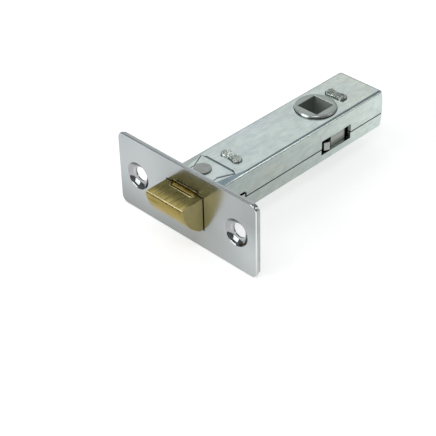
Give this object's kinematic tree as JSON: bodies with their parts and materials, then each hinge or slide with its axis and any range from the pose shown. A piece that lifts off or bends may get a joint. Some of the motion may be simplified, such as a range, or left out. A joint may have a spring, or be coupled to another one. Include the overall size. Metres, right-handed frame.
{
  "type": "tubular door latch",
  "caption": "Tubular mortice door latch: folded steel case with a square spindle hub, polished face plate and a sprung brass bolt that is bevelled underneath",
  "frame": {"origin": "centre of the face plate's front, half way between the two screw holes", "axes": "+X points out of the door edge, the way the bolt projects; +Y runs along the face plate; +Z is the axis of the spindle hole, on the side with the rivet"},
  "size_m": [0.0887, 0.057, 0.0254],
  "materials": {
    "polished_chrome": "polished chrome plate with fine edges",
    "zinc_plate": "bright zinc plate on folded sheet steel, semi-gloss with fine rolling streaks",
    "bare_steel": "dull grey rivet steel",
    "staked_steel": "peened steel, rough and dull",
    "hub_steel": "zinc plated steel with rounded rim",
    "inner_steel": "plain plated steel",
    "bolt_brass": "satin brass with drawn lines and bright edges",
    "spring_steel": "drawn spring wire"
  },
  "bodies": {
    "case": {"dress_plate": "polished_chrome", "forend_plate": "zinc_plate", "tongue_rivet": "bare_steel", "upper_shell": "zinc_plate", "lower_shell": "zinc_plate", "front_bridge": "staked_steel", "rear_bridge": "staked_steel", "latch_spring": "spring_steel", "return_spring_near": "spring_steel", "return_spring_far": "spring_steel"},
    "follower": {"follower": "hub_steel"},
    "yoke": {"yoke": "inner_steel"},
    "bolt": {"latch_bolt": "bolt_brass", "bolt_stem": "inner_steel", "stem_pin": "inner_steel", "stem_washer": "inner_steel", "stem_clip": "spring_steel"}
  },
  "joints": [
    {"name": "follower_turn", "type": "hinge", "parent": "case", "child": "follower", "pos_m": [-0.057, 0, 0], "axis": [0, 0, 1], "range_deg": [0, 60.6]},
    {"name": "yoke_slide", "type": "slide", "parent": "case", "child": "yoke", "axis": [-1, 0, 0], "range_m": [0, 0.008], "stiffness_N_per_m": 1500, "springref_m": -0.0015, "deforming": ["return_spring_near", "return_spring_far"]},
    {"name": "bolt_slide", "type": "slide", "parent": "yoke", "child": "bolt", "axis": [-1, 0, 0], "range_m": [0, 0.008], "stiffness_N_per_m": 300, "springref_m": -0.012, "deforming": ["latch_spring"]}
  ],
  "couplings": [
    {"joint": "follower_turn", "follows": "yoke_slide", "rad_per_m": 132}
  ]
}
